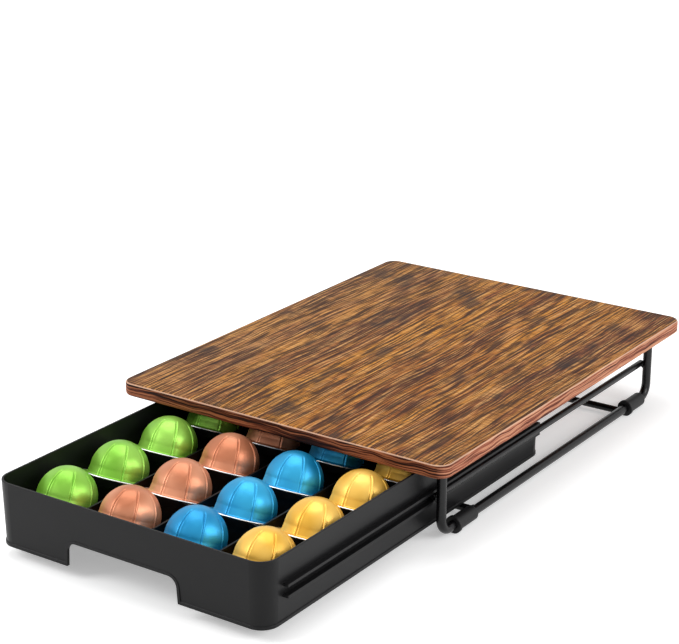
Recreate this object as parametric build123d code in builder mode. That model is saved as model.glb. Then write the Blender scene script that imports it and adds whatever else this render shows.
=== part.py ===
"""Coffee pod drawer: a wood-grain shelf board on a bent-rod stand, with a moulded pod drawer under it.

Frame: +Z up, +X to the right of someone facing the drawer's front, -Y towards that person.
The origin is on the table, at the middle of the outer box of the part at rest.
At rest the drawer stands out by drawer_pull, so that its front four rows of pods can be reached.
All sizes are in millimetres.
"""
import os
from math import atan2, cos, degrees, radians, sin, tan

from build123d import *

# ---------------------------------------------------------------- driving dimensions
# The pods set the tray's inside, the tray sets the stand, and the stand sets the board.

# Shelf board
board_side_overhang = 20.5
board_rear_spare = 21.0
board_thickness = 12.0
board_corner_r = 12.0
board_edge_round = 2.4

# How far the drawer's front stands out before the board at rest
drawer_pull = 184.0

# Stand: two hoops of bent rod, two cross bars and two runner rails
rod_d = 8.0
bend_r = 12.0
front_leg_inset = 30.6
rear_leg_inset = 26.3
tube_z = 7.0
cross_bar_d = 6.4
cross_bar_drop = 0.6
cross_bar_gap = 2.6
rail_d = 6.0
rail_up = 26.3
rail_side_gap = 1.21
rail_overrun = 2.0

# Rubber foot sleeves, pushed along the bottom tubes
sleeve_length = 29.2
sleeve_d = 12.6
sleeve_ring_length = 3.2
sleeve_ring_d = 14.8
sleeve_edge_round = 0.7
front_sleeve_inset = 48.5
rear_sleeve_inset = 40.3
sleeve_bore_gap = 0.05

# Plates that are welded on the leg tops, and their screws into the board
plate_x = 22.0
plate_y = 36.0
plate_thickness = 2.0
plate_corner_r = 4.0
plate_shift_x = 3.5
plate_hole_gap = 0.5
screw_spread = 24.0
screw_d = 3.5
screw_length = 11.0
screw_tip = 1.2
screw_head_d = 7.4
screw_head_h = 2.2
screw_head_round = 0.9
screw_slot_w = 1.1
screw_slot_depth = 0.9
screw_hole_gap = 0.1
screw_hole_spare = 0.5

# Drawer tray: a drafted moulding whose underside is open
tray_draft = 1.2
tray_corner_r = 14.0
tray_wall = 1.8
tray_bottom_gap = 0.6
tray_rim_round = 0.5
bead_out = 0.8
bead_height = 2.8
bead_round = 0.9
flange_width = 4.0
flange_thickness = 2.0

# Runner ribs on the tray's sides, one above and one below each rail
rib_depth = 4.8
rib_thickness = 2.2
rib_gap = 0.3
rib_front_inset = 20.5
rib_rear_inset = 13.5
rib_end_round = 0.6

# Finger notch in the bottom of the tray's front wall
notch_centre_x = -4.0
notch_width = 107.0
notch_height = 20.3
notch_slant = 1.5
notch_corner_r = 8.0
notch_bead_width = 2.4
notch_reach = 12.0
notch_flange_gap = 10.0

# Pods: four across and six deep, of which the front four rows are filled
pod_columns = 4
pod_rows = 6
filled_rows = 4
pod_side_gap = 5.0
pod_row_gap = 8.1
pod_wall_gap = 1.95
pod_front_room = 44.6
pod_rear_room = 43.4
pod_tilt = 24.0
pod_dome_over_rim = 7.4
pod_skirt_flare = 1.2
pod_wall = 0.9
pod_rim_r = 29.5
pod_rim_width = 5.4
pod_rim_thickness = 0.8
foil_thickness = 0.4
foil_inset = 0.6
pod_seat_gap = 0.1
pod_over_tray = 1.8
pod_headroom = 1.6

# Seat insert: sloped seats with round noses, and low walls between the columns
seat_thickness = 1.8
seat_rear_up = 5.53
riser_gap = 0.06
nose_margin = 4.5
nose_centre_back = 3.5
nose_drop = 4.33
divider_over_seat = 0.67
divider_thickness = 1.6
ledge_drop = 6.33
insert_skirt = 1.6
insert_skirt_inset = 1.4
insert_gap = 0.4
insert_foot_gap = 0.2

# ---------------------------------------------------------------- places that follow

cross_bar_r = cross_bar_d / 2
cross_bar_z = tube_z - cross_bar_drop
tray_bottom_z = cross_bar_z + cross_bar_r + tray_bottom_gap
tilt_slope = tan(radians(pod_tilt))
rim_back = pod_dome_over_rim * sin(radians(pod_tilt))
rim_reach = pod_rim_r * cos(radians(pod_tilt))
seat_drop = (foil_thickness + pod_seat_gap) / cos(radians(pod_tilt))
seat_slab = seat_thickness / cos(radians(pod_tilt))
pod_dome_r = pod_rim_r - pod_rim_width
pod_pitch_x = 2 * pod_rim_r + pod_side_gap
pod_pitch_y = 2 * rim_reach + pod_row_gap
riser_lead = rim_reach - rim_back + riser_gap
nose_r = pod_rim_r + nose_margin


def seat_z(back):
    """Height of a seat's top face, at a distance behind its row's dome centres."""
    return tray_bottom_z + seat_rear_up + (pod_pitch_y - riser_lead - back) * tilt_slope


rim_z = seat_z(-rim_back) + seat_drop
dome_z = rim_z + pod_dome_over_rim * cos(radians(pod_tilt))
seat_front_z = seat_z(-riser_lead)
nose_bottom_z = seat_front_z - nose_drop
divider_top_z = seat_front_z + divider_over_seat
ledge_z = seat_front_z - ledge_drop

tray_height = dome_z + pod_dome_r - pod_over_tray - tray_bottom_z
tray_length = pod_front_room + pod_pitch_y * (pod_rows - 1) + pod_rear_room
tray_inner_x = pod_pitch_x * (pod_columns - 1) / 2 + pod_rim_r + pod_wall_gap
rim_draft = tray_draft * (rim_z - tray_bottom_z) / tray_height
tray_foot_x = 2 * (tray_inner_x + tray_wall - rim_draft)
tray_foot_y = tray_length - 2 * tray_draft
tray_top_width = tray_foot_x + 2 * tray_draft
tray_taper = -degrees(atan2(tray_draft, tray_height))

rod_r = rod_d / 2
rail_z = tray_bottom_z + rail_up
tray_side_x = tray_foot_x / 2 + tray_draft * rail_up / tray_height
rail_x = tray_side_x + rail_side_gap + rail_d / 2
hoop_x = rail_x + rail_d / 2 + rod_r
rib_offset = rail_d / 2 + rib_gap

board_width = 2 * (hoop_x + board_side_overhang)
board_depth = tray_length + board_rear_spare
board_mid_y = drawer_pull / 2
board_front_y = board_mid_y - board_depth / 2
board_rear_y = board_mid_y + board_depth / 2
board_under_z = dome_z + pod_dome_r + pod_headroom

leg_ys = {"front": board_front_y + front_leg_inset, "rear": board_rear_y - rear_leg_inset}
leg_top_z = board_under_z - plate_thickness
sides = {"left": -1, "right": 1}

sleeve_ys = {
    "front": board_front_y + front_sleeve_inset,
    "rear": board_rear_y - rear_sleeve_inset - sleeve_length,
}
cross_bar_ys = {
    "front": sleeve_ys["front"] + sleeve_length + cross_bar_gap + cross_bar_r,
    "rear": sleeve_ys["rear"] - cross_bar_gap - cross_bar_r,
}

plate_mid_x = hoop_x + plate_shift_x
screw_places = [
    (side * plate_mid_x, leg_y + end * screw_spread / 2)
    for side in sides.values()
    for leg_y in leg_ys.values()
    for end in (-1, 1)
]

tray_front_y = board_front_y - drawer_pull
tray_rear_y = tray_front_y + tray_length
tray_mid_y = (tray_front_y + tray_rear_y) / 2

row_ys = [tray_front_y + pod_front_room + pod_pitch_y * row for row in range(pod_rows)]
column_xs = [pod_pitch_x * (column - (pod_columns - 1) / 2) for column in range(pod_columns)]
divider_xs = [(left + right) / 2 for left, right in zip(column_xs, column_xs[1:])]
seat_rear_y = tray_rear_y - tray_draft - tray_wall - insert_gap
insert_foot_z = tray_bottom_z + flange_thickness + insert_foot_gap

# Each row's seat runs from its own riser to the next one, or to the rear wall.
riser_ys = [row_y - riser_lead for row_y in row_ys]
seat_ends = riser_ys[1:] + [seat_rear_y]
seat_spans = [
    (front, rear, seat_front_z, seat_z(rear - row_y))
    for row_y, front, rear in zip(row_ys, riser_ys, seat_ends)
]


def tray_outline(grow):
    """The tray's foot outline in plan, offset outwards by grow."""
    with Locations((0, tray_mid_y)):
        RectangleRounded(tray_foot_x + 2 * grow, tray_foot_y + 2 * grow, tray_corner_r + grow)


def notch_outline(grow):
    """The finger notch on the front wall: wider at its mouth, round in its upper corners."""
    mouth = notch_width / 2
    throat = mouth - notch_slant
    top = tray_bottom_z + notch_height
    Polygon(
        (notch_centre_x - mouth, tray_bottom_z),
        (notch_centre_x - throat, top),
        (notch_centre_x + throat, top),
        (notch_centre_x + mouth, tray_bottom_z),
    )
    corners = vertices().group_by(Axis.Y)[-1]
    fillet(corners, notch_corner_r)
    if grow:
        offset(amount=grow)


os.makedirs("parts", exist_ok=True)


def write(builder, name):
    """Label a finished piece and write it to its own file."""
    builder.part.label = name
    export_step(builder.part, f"parts/{name}.step")


# ---------------------------------------------------------------- shelf board

with BuildPart() as top_board:
    with BuildSketch(Plane.XY.offset(board_under_z)):
        with Locations((0, board_mid_y)):
            RectangleRounded(board_width, board_depth, board_corner_r)
    extrude(amount=board_thickness)
    fillet(faces().sort_by(Axis.Z)[-1].edges(), board_edge_round)
    fillet(faces().sort_by(Axis.Z)[0].edges(), board_edge_round)
    # Blind pilot holes for the screws
    with BuildSketch(Plane.XY.offset(board_under_z)):
        with Locations(*screw_places):
            Circle(screw_d / 2 + screw_hole_gap)
    extrude(amount=screw_length - plate_thickness + screw_hole_spare, mode=Mode.SUBTRACT)
write(top_board, "top_board")

# ---------------------------------------------------------------- stand

for side_name, side in sides.items():
    # Each hoop is one rod: a leg, a tight bend, the bottom tube, a bend and the other leg.
    with BuildPart() as hoop:
        with BuildLine(Plane.YZ.offset(side * hoop_x)) as path:
            FilletPolyline(
                (leg_ys["front"], leg_top_z),
                (leg_ys["front"], tube_z),
                (leg_ys["rear"], tube_z),
                (leg_ys["rear"], leg_top_z),
                radius=bend_r,
            )
        with BuildSketch(Plane(path.line @ 0, z_dir=path.line % 0)):
            Circle(rod_r)
        sweep()
    write(hoop, f"hoop_{side_name}")

    # The rail is welded on the inner side of both legs and carries the tray's ribs.
    with BuildPart() as rail:
        rail_start = (side * rail_x, leg_ys["front"] - rail_overrun, rail_z)
        with BuildSketch(Plane(rail_start, z_dir=(0, 1, 0))):
            Circle(rail_d / 2)
        extrude(amount=leg_ys["rear"] - leg_ys["front"] + 2 * rail_overrun)
        chamfer(edges().filter_by(GeomType.CIRCLE), rail_d / 8)
    write(rail, f"rail_{side_name}")

    for end_name, leg_y in leg_ys.items():
        # The sleeve grips the tube; its front ring is cut flat where it stands on the table.
        with BuildPart() as sleeve:
            sleeve_start = Plane((side * hoop_x, sleeve_ys[end_name], tube_z), z_dir=(0, 1, 0))
            with BuildSketch(sleeve_start):
                Circle(sleeve_d / 2)
            extrude(amount=sleeve_length)
            with BuildSketch(sleeve_start):
                Circle(sleeve_ring_d / 2)
            extrude(amount=sleeve_ring_length)
            ends = edges().filter_by(GeomType.CIRCLE).sort_by(Axis.Y)
            fillet([ends[0], ends[-1]], sleeve_edge_round)
            with BuildSketch(sleeve_start):
                Circle(rod_r + sleeve_bore_gap)
            extrude(amount=sleeve_length, mode=Mode.SUBTRACT)
            split(bisect_by=Plane.XY, keep=Keep.TOP)
        write(sleeve, f"foot_sleeve_{end_name}_{side_name}")

        with BuildPart() as plate:
            with BuildSketch(Plane.XY.offset(leg_top_z)):
                with Locations((side * plate_mid_x, leg_y)):
                    RectangleRounded(plate_x, plate_y, plate_corner_r)
                    with GridLocations(0, screw_spread, 1, 2):
                        Circle(screw_d / 2 + plate_hole_gap, mode=Mode.SUBTRACT)
            extrude(amount=plate_thickness)
        write(plate, f"mount_plate_{end_name}_{side_name}")

for end_name, bar_y in cross_bar_ys.items():
    # Each bar's ends are coped round the bottom tubes, as a welder would fit them.
    with BuildPart() as cross_bar:
        with BuildSketch(Plane((-hoop_x, bar_y, cross_bar_z), z_dir=(1, 0, 0))):
            Circle(cross_bar_r)
        extrude(amount=2 * hoop_x)
        with Locations(*[Location((side * hoop_x, bar_y, tube_z), (90, 0, 0)) for side in (-1, 1)]):
            Cylinder(rod_r, 4 * cross_bar_d, mode=Mode.SUBTRACT)
    write(cross_bar, f"cross_bar_{end_name}")

with BuildPart() as board_screws:
    with BuildSketch(Plane.XY.offset(leg_top_z - screw_head_h)):
        with Locations(*screw_places):
            Circle(screw_head_d / 2)
    extrude(amount=screw_head_h)
    fillet(edges().group_by(Axis.Z)[0], screw_head_round)
    with BuildSketch(Plane.XY.offset(leg_top_z - screw_head_h)):
        with Locations(*screw_places):
            Rectangle(screw_head_d, screw_slot_w)
            Rectangle(screw_slot_w, screw_head_d)
    extrude(amount=screw_slot_depth, mode=Mode.SUBTRACT)
    with BuildSketch(Plane.XY.offset(leg_top_z)):
        with Locations(*screw_places):
            Circle(screw_d / 2)
    extrude(amount=screw_length)
    chamfer(edges().group_by(Axis.Z)[-1], screw_tip)
write(board_screws, "board_screws")

# ---------------------------------------------------------------- drawer tray

# The bead round the tray's foot
with BuildPart() as foot_bead:
    with BuildSketch(Plane.XY.offset(tray_bottom_z)):
        tray_outline(bead_out)
    extrude(amount=bead_height)
    fillet(faces().sort_by(Axis.Z)[-1].edges(), bead_round)

# The raised frame round the finger notch, before the tray is hollowed
with BuildPart() as notch_frame:
    with BuildSketch(Plane.XY.offset(tray_bottom_z)):
        tray_outline(bead_out)
    extrude(amount=tray_height)
    with BuildSketch(Plane.XZ.offset(-tray_front_y - notch_reach)):
        notch_outline(notch_bead_width)
    extrude(amount=2 * notch_reach, mode=Mode.INTERSECT)

with BuildPart() as drawer_tray:
    with BuildSketch(Plane.XY.offset(tray_bottom_z)):
        tray_outline(0)
    extrude(amount=tray_height, taper=tray_taper)
    add(foot_bead.part)
    add(notch_frame.part)
    # Ribs are laid right across, and the hollow then leaves only what stands outside the walls.
    rib_length = tray_length - rib_front_inset - rib_rear_inset
    rib_mid_y = tray_front_y + rib_front_inset + rib_length / 2
    for rib_z in (rail_z + rib_offset, rail_z - rib_offset - rib_thickness):
        with BuildSketch(Plane.XY.offset(rib_z)):
            with Locations((0, rib_mid_y)):
                RectangleRounded(2 * (tray_side_x + rib_depth), rib_length, rib_end_round)
        extrude(amount=rib_thickness)
    with BuildSketch(Plane.XY.offset(tray_bottom_z)):
        tray_outline(-tray_wall)
    extrude(amount=tray_height, taper=tray_taper, mode=Mode.SUBTRACT)
    # An inward flange along the bottom carries the seat insert and stops short of the notch.
    with BuildSketch(Plane.XY.offset(tray_bottom_z)):
        tray_outline(-tray_wall / 2)
        with Locations((notch_centre_x, tray_front_y)):
            Rectangle(notch_width + 2 * notch_flange_gap, 2 * notch_reach, mode=Mode.SUBTRACT)
    extrude(amount=flange_thickness)
    with BuildSketch(Plane.XY.offset(tray_bottom_z)):
        tray_outline(-tray_wall - flange_width)
    extrude(amount=flange_thickness, mode=Mode.SUBTRACT)
    with BuildSketch(Plane.XZ.offset(-tray_front_y - notch_reach)):
        notch_outline(0)
    extrude(amount=2 * notch_reach, mode=Mode.SUBTRACT)
    fillet(faces().sort_by(Axis.Z)[-1].edges(), tray_rim_round)
write(drawer_tray, "drawer_tray")

# ---------------------------------------------------------------- seat insert

# The round front of one seat, with its row's dome centre at x = 0, y = 0
with BuildPart() as seat_nose:
    nose_reach = nose_r - nose_centre_back + 1
    with BuildSketch(Plane.YZ):
        Polygon(
            (-riser_lead, nose_bottom_z),
            (-nose_reach, nose_bottom_z),
            (-nose_reach, seat_z(-nose_reach)),
            (-riser_lead, seat_z(-riser_lead)),
        )
    extrude(amount=nose_r, both=True)
    with Locations((0, nose_centre_back, nose_bottom_z)):
        Cylinder(nose_r, tray_height, mode=Mode.INTERSECT)

# The space that the insert may fill: the inside of the drafted walls, less a small gap
with BuildPart() as insert_space:
    with BuildSketch(Plane.XY.offset(tray_bottom_z)):
        tray_outline(-tray_wall - insert_gap)
    extrude(amount=tray_height, taper=tray_taper)

# Each row is one tier, right across the tray: a riser, a seat that slopes down behind it
# and the round noses before it. A tier's own seat stays open above.
tier_foot_z = ledge_z - seat_thickness
for number, (front, rear, front_z, rear_z) in enumerate(seat_spans, 1):
    with BuildPart() as seat_tier:
        with BuildSketch(Plane.YZ):
            Polygon((front, front_z), (rear, rear_z), (rear, rear_z - seat_slab), (front, front_z - seat_slab))
            Polygon(
                (front, tier_foot_z),
                (front + seat_thickness, tier_foot_z),
                (front + seat_thickness, front_z - seat_slab / 2),
                (front, front_z),
            )
            if number == 1:
                # The ledge behind the tray's front wall
                Polygon(
                    (tray_front_y, ledge_z - seat_thickness),
                    (front + seat_thickness, ledge_z - seat_thickness),
                    (front + seat_thickness, ledge_z),
                    (tray_front_y, ledge_z),
                )
            if number == pod_rows:
                # The skirt before the tray's rear wall
                Polygon(
                    (rear - insert_skirt, insert_foot_z),
                    (rear, insert_foot_z),
                    (rear, rear_z),
                    (rear - insert_skirt, rear_z),
                )
        extrude(amount=tray_top_width / 2, both=True)
        with Locations(*[(x, front + riser_lead, 0) for x in column_xs]):
            add(seat_nose.part)
        add(insert_space.part, mode=Mode.INTERSECT)
    write(seat_tier, f"seat_tier_{number}")
    tier_foot_z = rear_z - seat_slab

# Low walls between the columns, level along the top and cut to the seats below
for divider_name, divider_x in zip(("left", "middle", "right"), divider_xs):
    with BuildPart() as seat_divider:
        with BuildSketch(Plane.YZ.offset(divider_x - divider_thickness / 2)):
            for front, rear, front_z, rear_z in seat_spans:
                Polygon((front, divider_top_z), (rear, divider_top_z), (rear, rear_z), (front, front_z))
        extrude(amount=divider_thickness)
        add(insert_space.part, mode=Mode.INTERSECT)
    write(seat_divider, f"seat_divider_{divider_name}")

# Side skirts stand on the tray's flange and carry the tiers, each behind its riser.
skirt_x = tray_foot_x / 2 - tray_wall - insert_skirt_inset - insert_skirt / 2
skirt_rear_y = seat_rear_y - insert_skirt
for side_name, side in sides.items():
    with BuildPart() as seat_skirt:
        with BuildSketch(Plane.YZ.offset(side * skirt_x - insert_skirt / 2)):
            for row_y, riser_y, rear in zip(row_ys, riser_ys, riser_ys[1:] + [skirt_rear_y]):
                front = riser_y + seat_thickness
                Polygon(
                    (front, insert_foot_z),
                    (rear, insert_foot_z),
                    (rear, seat_z(rear - row_y) - seat_slab),
                    (front, seat_z(front - row_y) - seat_slab),
                )
            strip_top_z = seat_spans[0][3] - seat_slab
            Polygon(
                (riser_ys[0] + seat_thickness, insert_foot_z),
                (riser_ys[-1] + 2 * seat_thickness, insert_foot_z),
                (riser_ys[-1] + 2 * seat_thickness, strip_top_z),
                (riser_ys[0] + seat_thickness, strip_top_z),
            )
        extrude(amount=insert_skirt)
        add(insert_space.part, mode=Mode.INTERSECT)
    write(seat_skirt, f"seat_skirt_{side_name}")

# ---------------------------------------------------------------- pods

# One pod's cup, with the centre of its dome at the origin and its rim below
with BuildPart() as pod_cup:
    rim_under = -pod_dome_over_rim
    rim_over = rim_under + pod_rim_thickness
    skirt_r = pod_dome_r + pod_skirt_flare
    with BuildSketch(Plane.XZ):
        with BuildLine():
            CenterArc((0, 0), pod_dome_r, 0, 90)
            Line((pod_dome_r, 0), (skirt_r, rim_over))
            Line((skirt_r, rim_over), (pod_rim_r, rim_over))
            Line((pod_rim_r, rim_over), (pod_rim_r, rim_under))
            Line((pod_rim_r, rim_under), (skirt_r - pod_wall, rim_under))
            Line((skirt_r - pod_wall, rim_under), (pod_dome_r - pod_wall, 0))
            CenterArc((0, 0), pod_dome_r - pod_wall, 0, 90)
            Line((0, pod_dome_r - pod_wall), (0, pod_dome_r))
        make_face()
    revolve(axis=Axis.Z)

# The foil disc that closes it from below
with BuildPart() as pod_foil:
    with BuildSketch(Plane.XY.offset(rim_under - foil_thickness)):
        Circle(pod_rim_r - foil_inset)
    extrude(amount=foil_thickness)


def pod_places(columns):
    """Where the pods of these columns sit: leaning back by the seats' tilt."""
    return [
        Location((x, y, dome_z), (-pod_tilt, 0, 0))
        for x in columns
        for y in row_ys[:filled_rows]
    ]


for colour, column_x in zip(("green", "copper", "blue", "gold"), column_xs):
    with BuildPart() as pod_cups:
        with Locations(*pod_places([column_x])):
            add(pod_cup.part)
    write(pod_cups, f"pod_cups_{colour}")

with BuildPart() as pod_foils:
    with Locations(*pod_places(column_xs)):
        add(pod_foil.part)
write(pod_foils, "pod_foils")
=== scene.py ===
# %% [markdown]
# # Coffee pod drawer
# A wood-grain shelf board stands on two hoops of bent rod. A black plastic drawer hangs by two ribs
# a side on the stand's rails, and its sloped seats hold pods in four columns.
# The stand, the board, the tray and its insert come from the CAD model as they are and get their
# materials here. The pods, their foil lids and the weld beads are made here as new surfaces,
# because their creases, curled rims and ripples are too fine to be worth drawing in CAD.

# %% Load the frame
import math

import bpy
import numpy as np
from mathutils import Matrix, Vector


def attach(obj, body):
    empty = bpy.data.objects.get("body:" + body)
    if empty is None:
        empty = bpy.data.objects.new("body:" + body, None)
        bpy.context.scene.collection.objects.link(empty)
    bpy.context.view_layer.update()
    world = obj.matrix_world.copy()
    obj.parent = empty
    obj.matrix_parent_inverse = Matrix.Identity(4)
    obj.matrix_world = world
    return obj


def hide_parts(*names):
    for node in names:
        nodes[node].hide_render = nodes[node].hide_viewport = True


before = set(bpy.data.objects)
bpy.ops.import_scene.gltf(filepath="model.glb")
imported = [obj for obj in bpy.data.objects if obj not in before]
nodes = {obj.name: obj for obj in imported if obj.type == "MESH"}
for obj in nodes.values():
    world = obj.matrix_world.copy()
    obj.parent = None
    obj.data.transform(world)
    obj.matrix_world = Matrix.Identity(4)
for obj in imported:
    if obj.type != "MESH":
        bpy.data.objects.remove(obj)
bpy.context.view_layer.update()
MM = 0.001

# %% [markdown]
# ## Camera
# The photograph was taken from the front right with a long lens, a little above the board. The place
# and the lens were worked out from the straight edges of the board, the stand and the drawer. With a
# lens this long the upright legs stay nearly upright by themselves, so no lens shift is used.

# %% Camera
camera_data = bpy.data.cameras.new("photo camera")
camera_data.lens = 100.79
camera_data.sensor_width = 36
camera = bpy.data.objects.new("photo camera", camera_data)
camera.location = (0.8446, -1.2464, 0.6568)
camera.rotation_euler = (math.radians(70.706), 0, math.radians(34.634))
bpy.context.scene.collection.objects.link(camera)
bpy.context.scene.camera = camera
print("camera with a lens of", round(camera_data.lens, 2), "mm")

# %% [markdown]
# ## Colours and nodes
# A colour picked from a picture is sRGB, but Blender's shaders count light, so every hex value goes
# through one function. Materials are trees of nodes, and one small function adds each node.

# %% Colour and node helpers


def srgb(code):
    """Turns a hex colour to linear light: (c / 12.92) below 0.04045, else ((c + 0.055) / 1.055) ^ 2.4."""
    parts = [int(code[i : i + 2], 16) / 255 for i in (1, 3, 5)]
    return (*[c / 12.92 if c <= 0.04045 else ((c + 0.055) / 1.055) ** 2.4 for c in parts], 1.0)


def add_node(tree, kind, inputs=None, stops=(), **settings):
    """Adds a node. An input is a number, a colour or another node's output, and stops are a ramp's."""
    node = tree.nodes.new("ShaderNode" + kind)
    for name, value in settings.items():
        setattr(node, name, value)
    for key, value in (inputs or {}).items():
        if isinstance(value, bpy.types.NodeSocket):
            tree.links.new(value, node.inputs[key])
        else:
            node.inputs[key].default_value = value
    for index, (position, colour) in enumerate(stops):
        ramp = node.color_ramp.elements
        stop = ramp[index] if index < 2 else ramp.new(position)
        stop.position, stop.color = position, srgb(colour)
    return node


def new_material(name, **finish):
    """A material with one Principled shader. Each finish is set on the shader's own socket."""
    material = bpy.data.materials.new(name)
    material.use_nodes = True
    tree = material.node_tree
    tree.nodes.clear()
    shader = add_node(tree, "BsdfPrincipled", {k.replace("_", " "): v for k, v in finish.items()})
    add_node(tree, "OutputMaterial", {"Surface": shader.outputs[0]})
    place = add_node(tree, "TexCoord")
    return material, tree, shader, place


# %% [markdown]
# ## Floor and light
# The object stands on plain white. The floor is white by its own colour. For the camera, and in
# mirrored and transmitted rays, a little of its own light is added, so that it meets the white
# background with no edge and still keeps a soft grey shadow. Three big soft panels and a pale room
# light the object at a plain level.

# %% Floor
FLOOR_REACH = 7.0
FLOOR_DROP = 0.2 * MM
GLOW_FROM, GLOW_TO = 0.7, 2.2
GLOW_NEAR, GLOW_FAR = 0.36, 0.62


def white_rays(tree):
    """1 for the rays that see the white backdrop: the camera's, mirrored and transmitted ones."""
    path = add_node(tree, "LightPath").outputs
    first = add_node(tree, "Math", {0: path["Is Camera Ray"], 1: path["Is Glossy Ray"]}, operation="MAXIMUM")
    both = {0: first.outputs[0], 1: path["Is Transmission Ray"]}
    return add_node(tree, "Math", both, operation="MAXIMUM").outputs[0]


floor_mesh = bpy.data.meshes.new("studio floor")
corners = [(x * FLOOR_REACH, y * FLOOR_REACH, 0) for x, y in ((-1, -1), (1, -1), (1, 1), (-1, 1))]
floor_mesh.from_pydata(corners, [], [(0, 1, 2, 3)])
floor = bpy.data.objects.new("studio_floor", floor_mesh)
floor.location.z = -FLOOR_DROP
bpy.context.scene.collection.objects.link(floor)

paper = bpy.data.materials.new("white studio paper")
paper.use_nodes = True
tree = paper.node_tree
tree.nodes.clear()
seen = white_rays(tree)
matt = add_node(tree, "BsdfDiffuse", {"Color": srgb("#F4F4F4")})
# The lamps' light falls off with distance, so the floor's own light grows away from the object.
ground = add_node(tree, "TexCoord").outputs["Object"]
distance = add_node(tree, "VectorMath", {0: ground}, operation="LENGTH").outputs["Value"]
span = {"From Min": GLOW_FROM, "From Max": GLOW_TO, "To Min": GLOW_NEAR, "To Max": GLOW_FAR}
own_light = add_node(tree, "MapRange", {"Value": distance, **span}).outputs[0]
lift = add_node(tree, "Math", {0: seen, 1: own_light}, operation="MULTIPLY")
glow = add_node(tree, "Emission", {"Color": srgb("#FFFFFF"), "Strength": lift.outputs[0]})
both = add_node(tree, "AddShader", {0: matt.outputs[0], 1: glow.outputs[0]})
add_node(tree, "OutputMaterial", {"Surface": both.outputs[0]})
floor_mesh.materials.append(paper)
print("floor", 2 * FLOOR_REACH, "m square")

# %% World
ROOM_LIGHT, BACKDROP_WHITE = 0.55, 1.0
world = bpy.data.worlds.new("pale studio")
bpy.context.scene.world = world
world.use_nodes = True
tree = world.node_tree
tree.nodes.clear()
room = add_node(tree, "Background", {"Color": srgb("#FFFFFF"), "Strength": ROOM_LIGHT})
white = add_node(tree, "Background", {"Color": srgb("#FFFFFF"), "Strength": BACKDROP_WHITE})
mixed = add_node(tree, "MixShader", {0: white_rays(tree), 1: room.outputs[0], 2: white.outputs[0]})
add_node(tree, "OutputWorld", {"Surface": mixed.outputs[0]})
bpy.context.scene.view_settings.view_transform = "Standard"
print("world:", len(tree.nodes), "nodes")

# %% Soft panels
OBJECT_MIDDLE = (0, 0, 0.05)
DRAWER_MIDDLE = (0, -0.1, 0.05)


def soft_panel(name, place, aim, size, watts):
    """A rectangular lamp of that size in metres, turned so that its -Z axis points at aim."""
    lamp = bpy.data.lights.new(name, "AREA")
    lamp.shape = "RECTANGLE"
    lamp.size, lamp.size_y = size
    lamp.energy = watts
    panel = bpy.data.objects.new(name, lamp)
    panel.location = place
    away = panel.location - Vector(aim)
    panel.rotation_euler = away.to_track_quat("Z", "Y").to_euler()
    bpy.context.scene.collection.objects.link(panel)
    print(name, watts, "W")


soft_panel("left front panel", (-1.1, -1.2, 1.25), DRAWER_MIDDLE, (0.9, 0.9), 17)
soft_panel("right panel", (1.5, 0.1, 0.8), OBJECT_MIDDLE, (1.1, 0.6), 12)
soft_panel("top panel", (-0.3, 0.2, 1.9), OBJECT_MIDDLE, (1.3, 1.3), 14)

# %% [markdown]
# ## The board
# The board is finished as pressed wood under a printed foil: brown boards with dark wandering grain,
# grey smudges and faint cross marks of a saw. A painted picture could show one such board, but a
# pattern made of stretched noise has no seams and stays sharp at any size. Every scale below is a
# real length, and the grain runs along the board's depth. The rounded edges carry a band of their
# own, with lines along the edge. Painted shade makes the band darker at the front, and painted light
# makes it lighter on the sides. A painted highlight runs along the upper edge, and the left end of
# the top is painted paler as a painted sheen.

# %% Pattern helpers
# The helpers below add their nodes to tree, the tree of the material that is being made.
wood, tree, shader, place = new_material("satin wood-grain foil", Roughness=0.6, Specular_IOR_Level=0.12)
at = place.outputs["Object"]


def stretched(source, across, along, thick, detail=2.0, rough=0.5):
    """Noise whose blobs measure across x along x thick millimetres."""
    scale = (1 / (across * MM), 1 / (along * MM), 1 / (thick * MM))
    sized = add_node(tree, "Mapping", {"Vector": source, "Scale": scale})
    noise = {"Vector": sized.outputs[0], "Scale": 1.0, "Detail": detail, "Roughness": rough}
    return add_node(tree, "TexNoise", noise)


def remap(source, low, high, to_low=0.0, to_high=1.0):
    """Spreads the values between low and high over to_low to to_high, and holds them there."""
    sizes = {"Value": source, "From Min": low, "From Max": high, "To Min": to_low, "To Max": to_high}
    return add_node(tree, "MapRange", sizes).outputs[0]


def blend(amount, first, second):
    """Mixes two colours. Inputs 6 and 7 and output 2 are the colour sockets of a Mix node."""
    return add_node(tree, "Mix", {0: amount, 6: first, 7: second}, data_type="RGBA").outputs[2]


def shifted(source, noise, by):
    """Moves a place by noise x by, in metres."""
    parts = {0: noise, 1: by, 2: source}
    return add_node(tree, "VectorMath", parts, operation="MULTIPLY_ADD").outputs[0]


def coloured_by(value, *stops):
    """A ramp of colours that a value from 0 to 1 picks from."""
    return add_node(tree, "ValToRGB", {0: value}, stops=stops).outputs[0]


# %% Wood-grain foil
# Noise mostly stays within a quarter of its middle, so 12 mm of it moves a line by up to about 3 mm.
WANDER = (12 * MM, 0.0, 0.0)
drift = stretched(at, 60, 150, 60, 3.0).outputs["Color"]
wandering = shifted(at, drift, WANDER)
figure = stretched(wandering, 24, 240, 24, 4.0, 0.65).outputs[0]
board_browns = ((0.32, "#4A2512"), (0.42, "#80461F"), (0.50, "#A66527"), (0.58, "#C9862E"), (0.70, "#96542A"))
body = coloured_by(figure, *board_browns)
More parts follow.
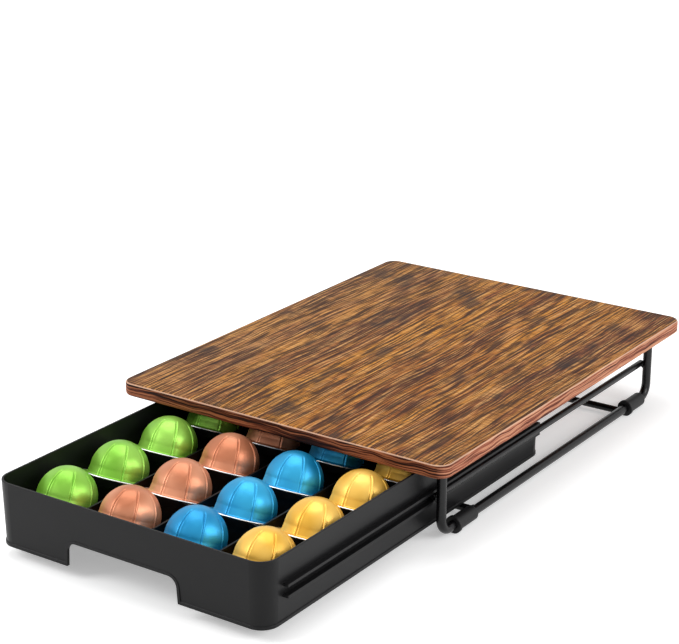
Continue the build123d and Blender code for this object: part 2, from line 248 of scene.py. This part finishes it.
# From left to right the foil turns from a paler grey brown, a painted sheen where light glances off the left
# of the board, to golden and then to a darker, pinker brown.
across = add_node(tree, "SeparateXYZ", {0: at}).outputs[0]
body = blend(remap(across, 0.0, -0.15, 0.0, 0.5), body, srgb("#8E6A4C"))
body = blend(remap(across, 0.05, 0.15, 0.0, 0.5), body, srgb("#6A4030"))
streak = remap(stretched(wandering, 2.0, 110, 2.0, 4.0, 0.75).outputs[0], 0.52, 0.58, 0.0, 0.8)
body = blend(streak, body, srgb("#241008"))
pale = remap(stretched(wandering, 1.7, 90, 1.7, 2.0, 0.6).outputs[0], 0.57, 0.64, 0.0, 0.65)
body = blend(pale, body, srgb("#D2A066"))
# Fine fibres about 1.8 mm wide: finer ones would not show at this distance.
fibre = stretched(wandering, 1.8, 55, 1.8, 2.0, 0.7).outputs[0]
body = blend(remap(fibre, 0.48, 0.56, 0.0, 0.88), body, srgb("#2A1409"))
body = blend(remap(fibre, 0.44, 0.36, 0.0, 0.62), body, srgb("#D6A05E"))
smudge = stretched(at, 38, 70, 38, 3.0, 0.6).outputs[0]
body = blend(remap(smudge, 0.56, 0.66, 0.0, 0.7), body, srgb("#2A1F1D"))
saw = stretched(at, 26, 1.4, 26, 1.0).outputs[0]
body = blend(remap(saw, 0.50, 0.58, 0.0, 0.42), body, srgb("#241209"))
print("board figure:", len(tree.nodes), "nodes")

# %% Edge band and foil finish
# The lines are about 1.4 mm apart, run round the board and waver by about 1 mm.
WAVER = (0.0, 0.0, 4.5 * MM)
# Where on the rounding the painted highlight sits, and how wide it is.
HIGHLIGHT_TILT, HIGHLIGHT_SPREAD = 0.66, 0.17
facing = add_node(tree, "SeparateXYZ", {0: place.outputs["Normal"]})
across_edge = add_node(tree, "Math", {0: facing.outputs[0]}, operation="ABSOLUTE").outputs[0]
waver = stretched(at, 26, 26, 26, 2.0).outputs["Color"]
line = stretched(shifted(at, waver, WAVER), 90, 90, 1.4, 2.0, 0.75).outputs[0]
# One edge foil in two copies: the front band's colours are painted shade, and the side band's are painted
# light.
shaded_front_band = coloured_by(line, (0.42, "#1E0C07"), (0.50, "#5E2E1D"), (0.57, "#9C5E3E"))
lit_side_band = coloured_by(line, (0.40, "#3F1A10"), (0.48, "#94503A"), (0.57, "#C48A6A"))
band = blend(remap(across_edge, 0.35, 0.75), shaded_front_band, lit_side_band)
tone = blend(remap(facing.outputs[2], 0.55, 0.8), band, body)
# A painted highlight runs along the upper edge, where the rounding faces halfway between outwards and up.
halfway = {0: facing.outputs[2], 1: HIGHLIGHT_TILT, 2: HIGHLIGHT_SPREAD}
painted_edge_highlight = remap(add_node(tree, "Math", halfway, operation="COMPARE").outputs[0], 0, 1, 0, 0.65)
tone = blend(painted_edge_highlight, tone, srgb("#E3B89C"))
tree.links.new(tone, shader.inputs["Base Color"])
pores = add_node(tree, "Bump", {"Height": fibre, "Strength": 0.35, "Distance": 0.15 * MM})
tree.links.new(pores.outputs[0], shader.inputs["Normal"])
print("wood foil:", len(tree.nodes), "nodes")

# %% [markdown]
# ## Steel, rubber and screws
# The rods are powder coated: fine powder melted on in an oven, which leaves a satin black skin with a
# faint orange peel. The foot sleeves are moulded rubber, duller and a little greyer. The screws are
# zinc plated steel. The coat and the rubber get a bump about as large as their own texture, and the
# zinc gets clouds of colour and gloss instead. Plain surfaces need the same two things again and
# again, clouds and a bump, so each of them has a helper.

# %% Powder coat, rubber and zinc
# Both helpers work on the material that is being made: its tree, its shader and its places, at.


def clouds(size, deep, light, detail=2.0, spread=None):
    """Colours the material in clouds of that size in mm. Gives the noise, for the gloss to follow."""
    noise = stretched(at, size, size, size, detail).outputs[0]
    amount = remap(noise, *spread) if spread else noise
    tree.links.new(blend(amount, srgb(deep), srgb(light)), shader.inputs["Base Color"])
    return noise


def bumpy(size, strength, depth, **more):
    """Gives the material bumps of that size and depth in mm, on top of any Normal in more."""
    height = stretched(at, size, size, size, 1.0).outputs[0]
    sizes = {"Height": height, "Strength": strength, "Distance": depth * MM, **more}
    tree.links.new(add_node(tree, "Bump", sizes).outputs[0], shader.inputs["Normal"])


coat, tree, shader, place = new_material("satin black powder coat", Roughness=0.27, Specular_IOR_Level=0.32)
at = place.outputs["Object"]
clouds(14, "#040405", "#0B0B0D")
bumpy(1.4, 0.15, 0.08)

rubber, tree, shader, place = new_material("matt black moulded rubber", Roughness=0.5, Specular_IOR_Level=0.3)
at = place.outputs["Object"]
clouds(5, "#0C0C0D", "#1A1A1B")
bumpy(0.6, 0.3, 0.1)

zinc, tree, shader, place = new_material("zinc plated steel", Metallic=1.0)
at = place.outputs["Object"]
cloud = clouds(2.5, "#A9A69A", "#D2D0C8")
tree.links.new(remap(cloud, 0.3, 0.7, 0.26, 0.42), shader.inputs["Roughness"])
print("made", [material.name for material in (coat, rubber, zinc)])

# %% [markdown]
# ## Moulded plastic
# The tray and the insert are injection mouldings. The tray's outside has a fine spark-eroded grain
# that scatters light, so it looks dark grey rather than black. The insert is smoother and blacker.
# A real moulding has no sharp edge, so a Bevel node rounds the edges' shading, by 0.35 mm on the tray
# and 0.2 mm on the insert, and they catch a thin line of light as in the photograph.

# %% Tray and seat plastic
TRAY_EDGE, SEAT_EDGE = 0.35 * MM, 0.2 * MM
tray_finish = {"Roughness": 0.38, "Specular_IOR_Level": 0.17}
tray_plastic, tree, shader, place = new_material("grained black ABS", **tray_finish)
at = place.outputs["Object"]
clouds(30, "#0F0F10", "#151516", 3.0)
rounded = add_node(tree, "Bevel", {"Radius": TRAY_EDGE}, samples=4)
bumpy(0.7, 0.25, 0.08, Normal=rounded.outputs[0])

seat_finish = {"Roughness": 0.42, "Specular_IOR_Level": 0.16}
seat_plastic, tree, shader, place = new_material("satin black polystyrene", **seat_finish)
at = place.outputs["Object"]
clouds(20, "#020202", "#060606", 3.0)
rounded = add_node(tree, "Bevel", {"Radius": SEAT_EDGE}, samples=4)
tree.links.new(rounded.outputs[0], shader.inputs["Normal"])
print("made", [material.name for material in (tray_plastic, seat_plastic)])

# %% [markdown]
# ## Lacquered aluminium
# A pod's cup is thin aluminium, pressed to a dome and sprayed with a coloured satin lacquer. It
# mirrors the pale panels and its black surroundings in broad soft patches, so the shader is half
# metallic with a medium roughness. The lids and their curled edges are bare aluminium foil.

# %% Pod lacquers and bare foil
LACQUERS = {
    "green": ("#78B634", "#96CE52"),
    "copper": ("#BC7350", "#DA9673"),
    "blue": ("#0A86BC", "#2AA2D2"),
    "gold": ("#E4AE3A", "#F4C660"),
}
lacquer_finish = {"Roughness": 0.38, "Metallic": 0.5}
lacquers = {}
for colour, (deep, light) in LACQUERS.items():
    lacquers[colour], tree, shader, place = new_material(f"{colour} lacquered aluminium", **lacquer_finish)
    at = place.outputs["Object"]
    clouds(26, deep, light, 1.0, spread=(0.35, 0.65))
    bumpy(12, 0.5, 1.2)

foil, tree, shader, place = new_material("bare aluminium foil", Metallic=1.0)
at = place.outputs["Object"]
cloud = clouds(3, "#D9D9DA", "#F2F2F2")
tree.links.new(remap(cloud, 0.3, 0.7, 0.28, 0.42), shader.inputs["Roughness"])
print("made", len(lacquers), "lacquers and", foil.name)

# %% [markdown]
# ## Dressing the CAD pieces
# The CAD pieces keep their shapes, and each gets the material that the real piece is made of. Their
# names say which: what has no line of its own below is powder coated steel.

# %% Dress the CAD nodes


def finish_for(name):
    """The material of a CAD node, by what the piece is made of."""
    if name == "top_board":
        return wood
    if name == "board_screws":
        return zinc
    if name == "drawer_tray":
        return tray_plastic
    if name.startswith("foot_sleeve"):
        return rubber
    if name.startswith("seat_"):
        return seat_plastic
    if name.startswith("pod_"):
        return foil
    return coat


for name, node in nodes.items():
    node.data.materials.clear()
    node.data.materials.append(finish_for(name))
print("dressed", len(nodes), "nodes")

# %% [markdown]
# ## Surfaces from arrays
# A round piece is a profile turned about an axis. Both can be written as numpy arrays: one row for
# each point of the profile, one column for each angle. The function below joins such a grid into
# quads, closes it round the axis and closes each of its two poles with triangles.

# %% Grid to mesh


def ring_faces(rows, columns):
    """Faces of a closed turned shape: a pole, rows x columns points, and a second pole."""
    first = 1 + np.arange(rows - 1)[:, None] * columns + np.arange(columns)[None, :]
    following = 1 + np.arange(rows - 1)[:, None] * columns + (np.arange(columns)[None, :] + 1) % columns
    quads = np.stack([first, following, following + columns, first + columns], -1).reshape(-1, 4)
    turn = np.arange(columns)
    last = 1 + (rows - 1) * columns
    top = np.stack([np.zeros_like(turn), 1 + (turn + 1) % columns, 1 + turn], -1)
    bottom = np.stack([np.full_like(turn, 1 + rows * columns), last + turn, last + (turn + 1) % columns], -1)
    return quads, top, bottom


def add_piece(name, points, faces, material, body):
    """Makes a smooth mesh object of points and faces that rides on a body of the frame."""
    mesh = bpy.data.meshes.new(name)
    mesh.from_pydata(points.reshape(-1, 3).tolist(), [], faces)
    mesh.shade_smooth()
    mesh.materials.append(material)
    piece = bpy.data.objects.new(name, mesh)
    bpy.context.scene.collection.objects.link(piece)
    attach(piece, body)
    print(name, len(mesh.vertices), "points,", len(mesh.polygons), "faces")
    return piece


# %% [markdown]
# ## Pod cups
# Each cup is a dome over a short flared skirt with a flat rim, and eight shallow creases run up from
# the rim and fade before the top, where the press gathered the foil. Between them the wall is a
# little flatter than a true dome. A modelled crease catches light on one side and shade on the
# other, which a painted line can't do when the view changes, so the creases are in the surface.

# %% Pod places and sizes
# The places and sizes are those of the CAD pods, in millimetres. Heights are from the dome's centre.
POD_TILT = math.radians(24)
DOME_Z = 41.296
FIRST_ROW_Y, ROW_PITCH, FILLED_ROWS = -256.898, 61.9993, 4
COLUMN_PITCH, MIDDLE_COLUMN = 64.0, 1.5
ROWS = [FIRST_ROW_Y + ROW_PITCH * row for row in range(FILLED_ROWS)]
COLUMNS = {colour: COLUMN_PITCH * (index - MIDDLE_COLUMN) for index, colour in enumerate(LACQUERS)}
DOME_R, SKIRT_R, RIM_R = 24.1, 25.3, 29.5
RIM_UP, RIM_UNDER = -6.6, -7.4
print("columns", COLUMNS, "rows", [round(y, 1) for y in ROWS])

# %% Pod profile
DOME_TOP_ANGLE, DOME_POINTS = 87, 40
SKIRT_DRAFT = 0.1
FLARE = 0.9
RIM_INSET = 0.4
INNER_R = 4.0


def stations(*runs):
    """A profile from runs of ((start), (end), count), each run evenly divided, with no point twice."""
    parts = [np.linspace(start, end, count, endpoint=False) for start, end, count in runs]
    return np.vstack([*parts, [runs[-1][1]]])


arc = np.radians(np.linspace(DOME_TOP_ANGLE, 0, DOME_POINTS, endpoint=False))
dome = np.stack([DOME_R * np.cos(arc), DOME_R * np.sin(arc)], -1)
skirt_end = (SKIRT_R - SKIRT_DRAFT, RIM_UP + FLARE)
flare_end = (SKIRT_R + FLARE, RIM_UP)
rim_upper = (RIM_R - RIM_INSET, RIM_UP)
rim_lower = (RIM_R - RIM_INSET, RIM_UNDER)
foot = stations(
    ((DOME_R, 0.0), skirt_end, 9),
    (skirt_end, flare_end, 3),
    (flare_end, rim_upper, 3),
    (rim_upper, rim_lower, 2),
    (rim_lower, (SKIRT_R, RIM_UNDER), 2),
    ((SKIRT_R, RIM_UNDER), (INNER_R, RIM_UNDER), 2),
)
profile = np.vstack([dome, foot])
print("profile of", len(profile), "points")

# %% Creases round the cup
# Columns crowd together at each crease: in a sector the angle is half a sector x sign(t) |t|^2.2.
CREASES = 8
HALF_SECTOR = math.pi / CREASES
SECTOR_COLUMNS, CROWDING = 22, 2.2
CREASE_DEPTH, CREASE_WIDTH = 0.85, 0.5
SHOULDER, SHOULDER_AT, SHOULDER_WIDTH = 0.3, 1.3, 0.55
FLATTENING = 0.45
FADE_TOP, FADE_LENGTH, RIM_FADE = 0.90, 0.16, 0.9
t = np.linspace(-1, 1, SECTOR_COLUMNS + 1)[:-1]
sector = HALF_SECTOR * np.sign(t) * np.abs(t) ** CROWDING
angles = (np.arange(CREASES)[:, None] * math.tau / CREASES + sector[None, :]).ravel()
offset = np.tile(sector, CREASES)


def cup_surface():
    """Points of one cup, in millimetres from its dome's centre.
    The radius is profile r x (1 - FLATTENING (1 - cos h / cos(|a| - h))), where a is the angle from the
    nearest crease and h is half a sector. Each point then moves along the profile's normal by
    -CREASE_DEPTH exp(-(s / CREASE_WIDTH)^2) + SHOULDER exp(-((s - SHOULDER_AT) / SHOULDER_WIDTH)^2), where
    s is the distance in mm from the crease. Both fade out towards the top and at the rim."""
    r, z = profile[:, :1], profile[:, 1:]
    tangent = np.gradient(profile, axis=0)
    tangent /= np.linalg.norm(tangent, axis=1, keepdims=True)
    out_r, out_z = -tangent[:, 1:], tangent[:, :1]
    height = np.clip(z / DOME_R, -1, 1)
    fade = np.clip((FADE_TOP - height) / FADE_LENGTH, 0, 1) * np.clip((z - RIM_UP) / RIM_FADE, 0, 1)
    fade = fade * fade * (3 - 2 * fade)
    flat = 1 - np.cos(HALF_SECTOR) / np.cos(np.abs(offset)[None, :] - HALF_SECTOR)
    s = r * offset[None, :]
    groove = CREASE_DEPTH * np.exp(-((s / CREASE_WIDTH) ** 2))
    shoulder = SHOULDER * np.exp(-(((s - SHOULDER_AT) / SHOULDER_WIDTH) ** 2))
    crease = shoulder - groove
    rr = r * (1 - FLATTENING * flat * fade) + out_r * crease * fade
    zz = z + out_z * crease * fade
    return np.stack([rr * np.cos(angles), rr * np.sin(angles), zz], -1)


cup = cup_surface()
print("cup of", cup.shape[0], "x", cup.shape[1], "points")

# %% Cups


def lean(points, x, y):
    """Leans points back by the seats' tilt and puts them at a pod's place, in metres.
    A point's z axis turns to (0, sin tilt, cos tilt)."""
    px, py, pz = points[..., 0], points[..., 1], points[..., 2]
    c, s = math.cos(POD_TILT), math.sin(POD_TILT)
    return np.stack([px + x, py * c + pz * s + y, pz * c - py * s + DOME_Z], -1) * MM


def turned_set(grid, top, bottom, places):
    """One turned shape, closed at its poles, set at each place. Returns all points and faces."""
    rows, columns = grid.shape[:2]
    one = np.vstack([[top], grid.reshape(-1, 3), [bottom]])
    quads, upper, lower = ring_faces(rows, columns)
    points, faces = [], []
    for index, (x, y) in enumerate(places):
        shift = index * len(one)
        points.append(lean(one, x, y))
        faces += (quads + shift).tolist() + (upper + shift).tolist() + (lower + shift).tolist()
    return np.vstack(points), faces


for colour, x in COLUMNS.items():
    places = [(x, y) for y in ROWS]
    points, faces = turned_set(cup, (0, 0, DOME_R), (0, 0, RIM_UNDER), places)
    cups = add_piece(f"creased_cups_{colour}", points, faces, lacquers[colour], "drawer")
    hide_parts(f"pod_cups_{colour}")

# %% [markdown]
# ## Foil lids
# The lid is a foil disc whose edge is curled up round the cup's rim. Seen from above only the curl
# shows, as a thin silver line round the front of each pod, so the curl has its real round section
# and the disc below is nearly flat.

# %% Lids with curled edges
CURL_R, CURL_INSET, CURL_POINTS = 0.62, 0.55, 13
LID_TOP, LID_UNDER = RIM_UNDER - 0.02, RIM_UNDER - 0.38
LID_COLUMNS = 96
curl = np.radians(np.linspace(-90, 150, CURL_POINTS))
curl_r = RIM_R - CURL_INSET + CURL_R * np.cos(curl)
curl_z = (RIM_UP + RIM_UNDER) / 2 + CURL_R * np.sin(curl)
lip = np.stack([curl_r, curl_z], -1)[::-1]
inner = np.array([(6.0, LID_TOP), (27.6, LID_TOP), (28.0, RIM_UP - 0.1)])
under = np.array([(27.4, RIM_UNDER - 0.3), (25.0, RIM_UNDER - 0.34), (22.0, LID_UNDER), (8.0, LID_UNDER)])
section = np.vstack([inner, lip, under])
turn = np.linspace(0, math.tau, LID_COLUMNS, endpoint=False)
lid = np.stack([section[:, :1] * np.cos(turn), section[:, :1] * np.sin(turn), section[:, 1:] + 0 * turn], -1)
places = [(x, y) for x in COLUMNS.values() for y in ROWS]
points, faces = turned_set(lid, (0, 0, LID_TOP), (0, 0, LID_UNDER), places)
lids = add_piece("curled_foil_lids", points, faces, foil, "drawer")
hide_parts("pod_foils")

# %% [markdown]
# ## Weld beads
# A stand of this kind is welded where rails, cross bars and plates meet the hoops, so each joint has
# a rippled ring of metal under the powder coat. The beads' shape and size are a guess. A ring is a
# small circle carried round a larger one, and the small one swells and shrinks a little as the
# welder's puddle did.

# %% Weld rings
# The places are those of the CAD stand, in millimetres. A weld is its ring's radius, its bead's
# radius and its number of ripples.
HOOP_X, LEG_YS, BAR_YS = 140.5, (-86.9, 275.2), (-33.9, 226.1)
RAIL_Z, LEG_TOP_Z, BAR_Z = 36.5, 64.7, 6.5
RAIL_INSET, BAR_INSET = 3.8, 3.0
RAIL_WELD, PLATE_WELD, BAR_WELD = (2.3, 1.25, 9), (4.0, 1.15, 12), (3.1, 0.95, 11)
RING_POINTS, BEAD_POINTS = 84, 10


def weld_ring(centre, axis, ring_r, bead_r, ripples):
    """A torus round an axis: bead radius x (1 + 0.14 cos(ripples u) + 0.05 cos(3 u + 1)), in metres."""
    u = np.linspace(0, math.tau, RING_POINTS, endpoint=False)[:, None]
    v = np.linspace(0, math.tau, BEAD_POINTS, endpoint=False)[None, :]
    bead = bead_r * (1 + 0.14 * np.cos(ripples * u) + 0.05 * np.cos(3 * u + 1))
    flat = ring_r + bead * np.cos(v)
    first, second, up = flat * np.cos(u), flat * np.sin(u), bead * np.sin(v)
    order = {"x": (up, first, second), "z": (first, second, up)}[axis]
    return (np.stack(order, -1) + np.array(centre)) * MM


def grid_faces(rows, columns, shift):
    """Quads of a grid that closes both ways."""
    i = np.arange(rows)[:, None]
    j = np.arange(columns)[None, :]
    down, right = (i + 1) % rows, (j + 1) % columns
    quads = np.stack([i * columns + j, down * columns + j, down * columns + right, i * columns + right], -1)
    return (quads.reshape(-1, 4) + shift).tolist()


rings, faces = [], []
for side in (-1, 1):
    for leg_y in LEG_YS:
        rings.append(weld_ring((side * (HOOP_X - RAIL_INSET), leg_y, RAIL_Z), "x", *RAIL_WELD))
        rings.append(weld_ring((side * HOOP_X, leg_y, LEG_TOP_Z), "z", *PLATE_WELD))
    for bar_y in BAR_YS:
        rings.append(weld_ring((side * (HOOP_X - BAR_INSET), bar_y, BAR_Z), "x", *BAR_WELD))
for index in range(len(rings)):
    faces += grid_faces(RING_POINTS, BEAD_POINTS, index * RING_POINTS * BEAD_POINTS)
add_piece("weld_beads", np.array(rings), faces, coat, "stand")
